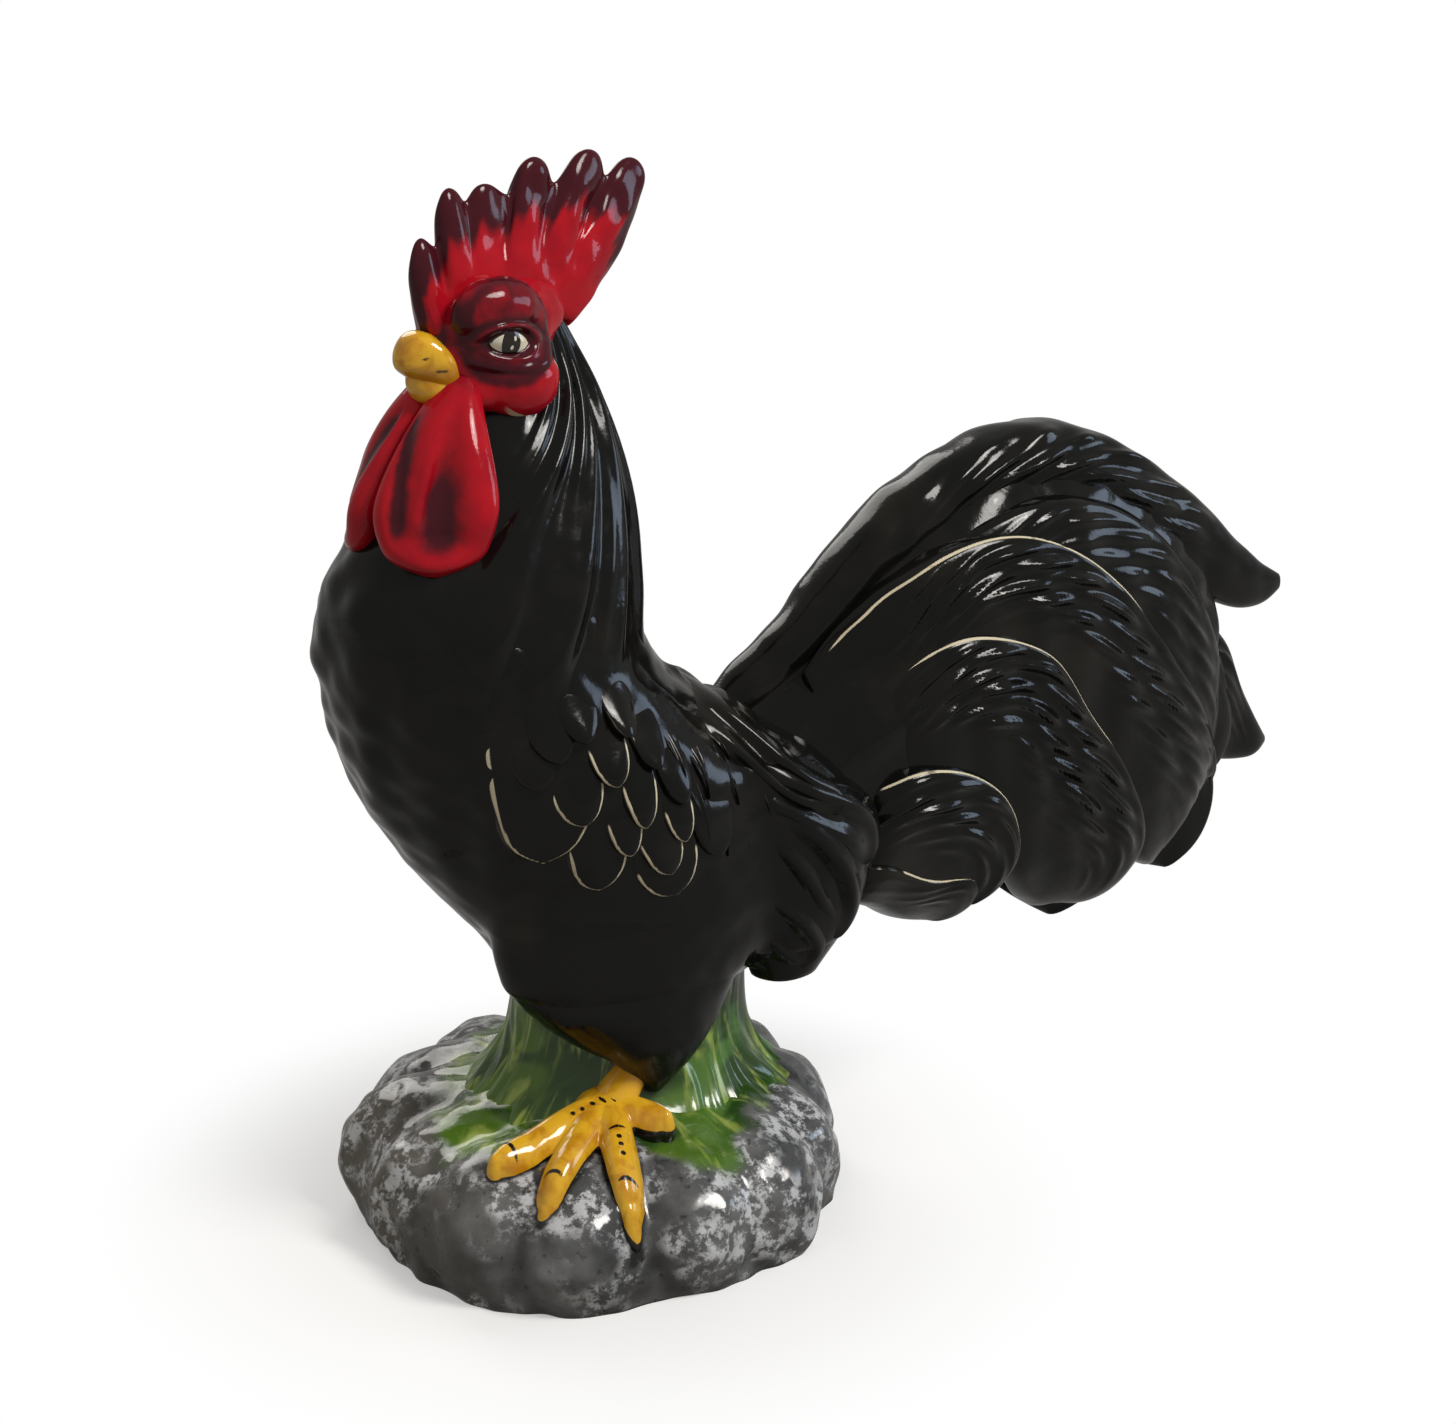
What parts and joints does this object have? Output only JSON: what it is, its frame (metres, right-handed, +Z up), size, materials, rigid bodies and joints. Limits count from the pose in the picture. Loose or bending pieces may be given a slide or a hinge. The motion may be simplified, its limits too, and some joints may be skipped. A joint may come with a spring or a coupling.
{
  "type": "ceramic rooster ornament",
  "caption": "Standing rooster ornament in glossy black glazed ceramic with red comb and wattles, yellow feet, a grass mound and a flat-bottomed rock base.",
  "frame": {"origin": "middle of the rock base's flat underside, on the table", "axes": "+Z up; the rooster faces -X, its tail points along +X, its left side is -Y"},
  "size_m": [0.3603, 0.1645, 0.335],
  "materials": {
    "black_glaze": "glossy black glaze, thinner and olive-brown on raised edges",
    "red_glaze": "glossy crimson glaze with dark maroon shading",
    "yellow_glaze": "glossy ochre yellow glaze with black brush marks",
    "eye_glaze": "glossy cream glaze with a black pupil",
    "green_glaze": "glossy streaked green glaze",
    "grey_glaze": "glossy dark grey glaze sponged with pale grey"
  },
  "bodies": {
    "root": {"comb": "red_glaze", "grass_mound": "green_glaze", "head": "red_glaze", "left_eye": "eye_glaze", "left_foot": "yellow_glaze", "left_saddle": "black_glaze", "left_tail_feather_1": "black_glaze", "left_tail_feather_2": "black_glaze", "left_tail_feather_3": "black_glaze", "left_tail_feather_4": "black_glaze", "left_tail_feather_5": "black_glaze", "left_thigh": "black_glaze", "left_wattle": "red_glaze", "left_wing": "black_glaze", "lower_beak": "yellow_glaze", "lower_sickle": "black_glaze", "neck": "black_glaze", "right_eye": "eye_glaze", "right_foot": "yellow_glaze", "right_saddle": "black_glaze", "right_tail_feather_1": "black_glaze", "right_tail_feather_2": "black_glaze", "right_tail_feather_3": "black_glaze", "right_tail_feather_4": "black_glaze", "right_tail_feather_5": "black_glaze", "right_thigh": "black_glaze", "right_wattle": "red_glaze", "right_wing": "black_glaze", "rock_base": "grey_glaze", "tail_core": "black_glaze", "torso": "black_glaze", "upper_beak": "yellow_glaze", "upper_sickle": "black_glaze"}
  },
  "joints": []
}
